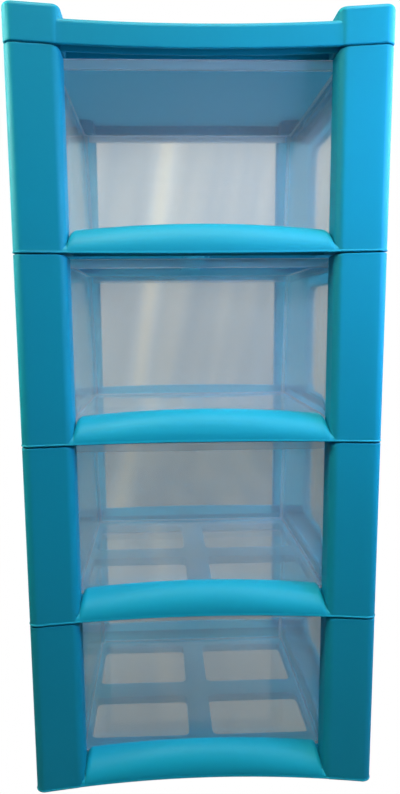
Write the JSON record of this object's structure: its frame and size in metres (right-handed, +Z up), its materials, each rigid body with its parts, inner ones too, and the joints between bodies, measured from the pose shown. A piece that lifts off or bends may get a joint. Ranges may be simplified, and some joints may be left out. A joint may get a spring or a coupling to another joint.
{
  "type": "plastic drawer tower",
  "caption": "Tall plastic storage tower of stacked clear sliding drawers, with concave turquoise fronts, window frames and a tray top with raised corner caps.",
  "frame": {"origin": "centre of the tower's footprint, on the floor", "axes": "+Z up, drawers open towards -Y, +X to the right for someone facing the fronts"},
  "size_m": [0.37, 0.38, 0.8],
  "materials": {
    "turquoise_plastic": "satin",
    "clear_plastic": "clear"
  },
  "bodies": {
    "carcass": {"top_cover": "turquoise_plastic", "shelf_1": "turquoise_plastic", "shelf_2": "turquoise_plastic", "shelf_3": "turquoise_plastic", "shelf_4": "turquoise_plastic", "side_frame_left_1": "turquoise_plastic", "side_frame_left_2": "turquoise_plastic", "side_frame_left_3": "turquoise_plastic", "side_frame_left_4": "turquoise_plastic", "side_frame_right_1": "turquoise_plastic", "side_frame_right_2": "turquoise_plastic", "side_frame_right_3": "turquoise_plastic", "side_frame_right_4": "turquoise_plastic"},
    "drawer_1": {"drawer_box_1": "clear_plastic", "drawer_front_1": "turquoise_plastic"},
    "drawer_2": {"drawer_box_2": "clear_plastic", "drawer_front_2": "turquoise_plastic"},
    "drawer_3": {"drawer_box_3": "clear_plastic", "drawer_front_3": "turquoise_plastic"},
    "drawer_4": {"drawer_box_4": "clear_plastic", "drawer_front_4": "turquoise_plastic"}
  },
  "joints": [
    {"name": "drawer_1_slide", "type": "slide", "parent": "carcass", "child": "drawer_1", "axis": [0, -1, 0], "range_m": [0, 0.24]},
    {"name": "drawer_2_slide", "type": "slide", "parent": "carcass", "child": "drawer_2", "axis": [0, -1, 0], "range_m": [0, 0.24]},
    {"name": "drawer_3_slide", "type": "slide", "parent": "carcass", "child": "drawer_3", "axis": [0, -1, 0], "range_m": [0, 0.24]},
    {"name": "drawer_4_slide", "type": "slide", "parent": "carcass", "child": "drawer_4", "axis": [0, -1, 0], "range_m": [0, 0.24]}
  ]
}
